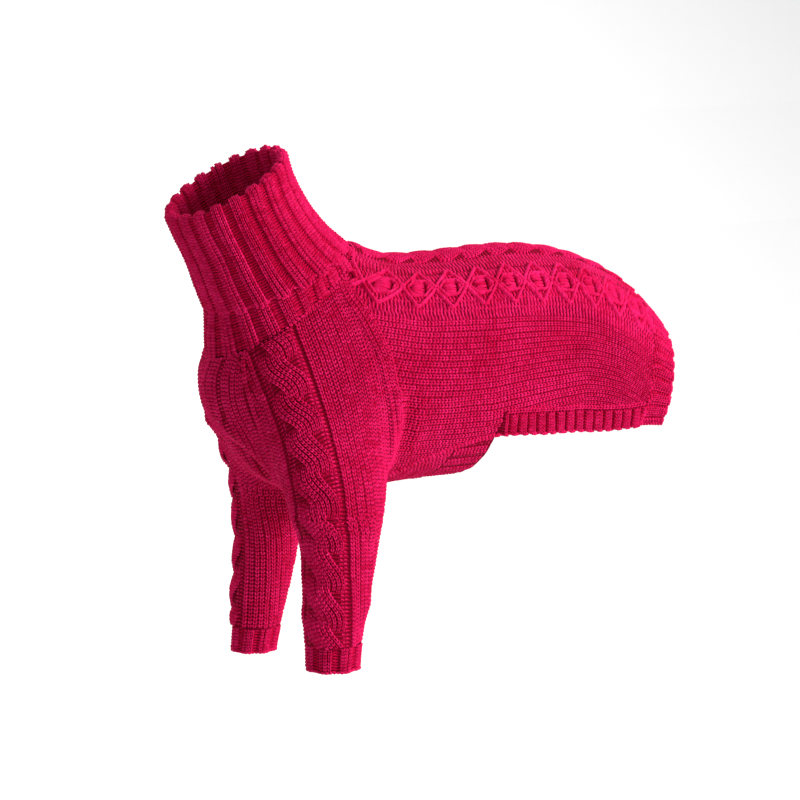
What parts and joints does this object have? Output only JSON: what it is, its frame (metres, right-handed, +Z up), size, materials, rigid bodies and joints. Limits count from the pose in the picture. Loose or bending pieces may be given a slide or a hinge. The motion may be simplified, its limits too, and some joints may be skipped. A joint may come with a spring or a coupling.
{
  "type": "dog sweater",
  "caption": "Hollow cable-knit roll-neck sweater for a small sighthound, in its worn shape, with two foreleg sleeves, ribbed cuffs and a ribbed hem.",
  "frame": {"origin": "on the spine line of the knit at the withers, just behind the roll neck's seam, where the wearer's back holds the sweater up", "axes": "+Z up as worn, -X towards the roll neck and +X towards the tail end, -Y towards the wearer's left side"},
  "size_m": [0.5048, 0.2162, 0.4853],
  "materials": {
    "cable_knit": "matt chunky yarn, stocking stitch with raised cables and diamonds, raspberry red",
    "rib_knit": "matt chunky yarn in wide ribs, raspberry red"
  },
  "bodies": {
    "root": {"collar": "rib_knit", "back_panel": "cable_knit", "chest_panel": "cable_knit", "hem_belly": "rib_knit", "hem_rear": "rib_knit", "hem_side_left": "rib_knit", "hem_side_right": "rib_knit", "sleeve_left": "cable_knit", "sleeve_right": "cable_knit", "cuff_left": "rib_knit", "cuff_right": "rib_knit"}
  },
  "joints": []
}
